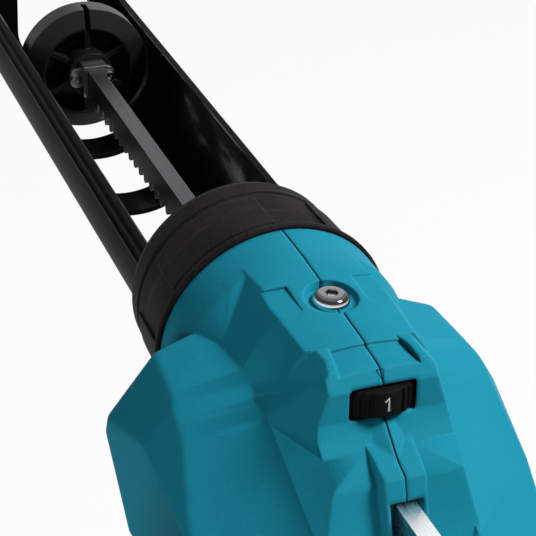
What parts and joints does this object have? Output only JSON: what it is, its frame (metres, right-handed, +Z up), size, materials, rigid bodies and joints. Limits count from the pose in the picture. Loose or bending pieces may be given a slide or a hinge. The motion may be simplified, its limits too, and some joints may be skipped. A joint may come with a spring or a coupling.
{
  "type": "cordless caulking tool",
  "caption": "Cordless caulking tool with a geared push rod and plunger, a screwed-on open cartridge holder, a speed dial, a trigger and a slide-on battery.",
  "frame": {"origin": "middle of the battery's flat base, on the plane of symmetry", "axes": "+X forward along the push rod towards the nozzle slot, +Y to the tool's left, +Z up"},
  "size_m": [0.408, 0.1056, 0.2802],
  "materials": {
    "teal_shell": "fine moulded texture",
    "black_plastic": "satin moulded",
    "ring_plastic": "coarse moulded texture",
    "grip_rubber": "soft, matt",
    "rod_steel": "drawn bar, brushed lengthways",
    "bright_screw": "bright plated",
    "plate_steel": "zinc plated",
    "gear_steel": "machined",
    "cast_alloy": "die cast",
    "bronze": "sintered or stamped",
    "nylon": "natural",
    "board": "solder resist",
    "cell_wrap": "shrink sleeve"
  },
  "bodies": {
    "housing": {"left_housing": "teal_shell", "right_housing": "teal_shell", "housing_screws": "bright_screw", "top_screw": "bright_screw", "front_nose": "cast_alloy", "nose_screws": "bright_screw", "gear_case_left": "cast_alloy", "gear_case_right": "cast_alloy", "gear_case_screws": "bright_screw", "gear_cover": "nylon", "motor": "plate_steel", "gear_reducer": "plate_steel", "pinion_bushes": "bronze", "front_rod_guide": "nylon", "rear_rod_guide": "nylon", "left_grip": "grip_rubber", "right_grip": "grip_rubber", "switch_body": "black_plastic", "control_board": "board", "dial_sensor": "black_plastic", "terminal_block": "black_plastic", "terminal_blades": "bronze", "trigger_spring": "plate_steel"},
    "push_rod": {"rod": "rod_steel", "rod_pin": "bright_screw", "rod_handle": "black_plastic", "piston": "black_plastic", "piston_clip": "plate_steel", "piston_screws": "bright_screw", "clip_pin": "bright_screw"},
    "pinion": {"pinion_shaft": "gear_steel", "output_gear": "gear_steel"},
    "drive": {"drive_gear": "gear_steel"},
    "trigger": {"trigger": "black_plastic"},
    "lock": {"lock_button": "black_plastic"},
    "dial": {"speed_dial": "black_plastic"},
    "holder": {"holder": "black_plastic"},
    "ring": {"retaining_ring": "ring_plastic"},
    "battery": {"battery_case": "black_plastic", "battery_lid": "black_plastic", "battery_cells": "cell_wrap", "battery_board": "board", "battery_contacts": "bronze", "battery_screws": "bright_screw", "latch_spring": "plate_steel"},
    "latch": {"battery_latch": "black_plastic"}
  },
  "joints": [
    {"name": "rod_slide", "type": "slide", "parent": "housing", "child": "push_rod", "axis": [1, 0, 0], "range_m": [-0.178, 0.033]},
    {"name": "pinion_spin", "type": "hinge", "parent": "housing", "child": "pinion", "pos_m": [0.014, 0, 0.22969], "axis": [0, 1, 0], "range_deg": [-975, 184]},
    {"name": "drive_spin", "type": "hinge", "parent": "housing", "child": "drive", "pos_m": [-0.00342, 0, 0.228], "axis": [0, 1, 0], "range_deg": [-328, 1755]},
    {"name": "holder_slide", "type": "slide", "parent": "housing", "child": "holder", "axis": [1, 0, 0], "range_m": [0, 0.009]},
    {"name": "ring_turn", "type": "hinge", "parent": "holder", "child": "ring", "pos_m": [0.06, 0, 0.246], "axis": [1, 0, 0], "range_deg": [0, 1082]},
    {"name": "trigger_pull", "type": "slide", "parent": "housing", "child": "trigger", "axis": [-1, 0, 0], "range_m": [0, 0.006], "stiffness_N_per_m": 600, "springref_m": -0.004, "deforming": ["trigger_spring"]},
    {"name": "lock_slide", "type": "slide", "parent": "housing", "child": "lock", "axis": [0, -1, 0], "range_m": [0, 0.004]},
    {"name": "dial_turn", "type": "hinge", "parent": "housing", "child": "dial", "pos_m": [-0.0112, 0, 0.26721], "axis": [0.148, 0, 0.989], "range_deg": [0, 240]},
    {"name": "battery_slide", "type": "slide", "parent": "housing", "child": "battery", "axis": [1, 0, 0], "range_m": [0, 0.085]},
    {"name": "latch_press", "type": "slide", "parent": "battery", "child": "latch", "axis": [0, 0, -1], "range_m": [0, 0.004], "stiffness_N_per_m": 700, "springref_m": -0.003, "deforming": ["latch_spring"]}
  ],
  "couplings": [
    {"joint": "pinion_spin", "follows": "rod_slide", "rad_per_m": 95.238},
    {"joint": "drive_spin", "follows": "rod_slide", "rad_per_m": -171.43},
    {"joint": "ring_turn", "follows": "holder_slide", "rad_per_m": 2094.4}
  ]
}
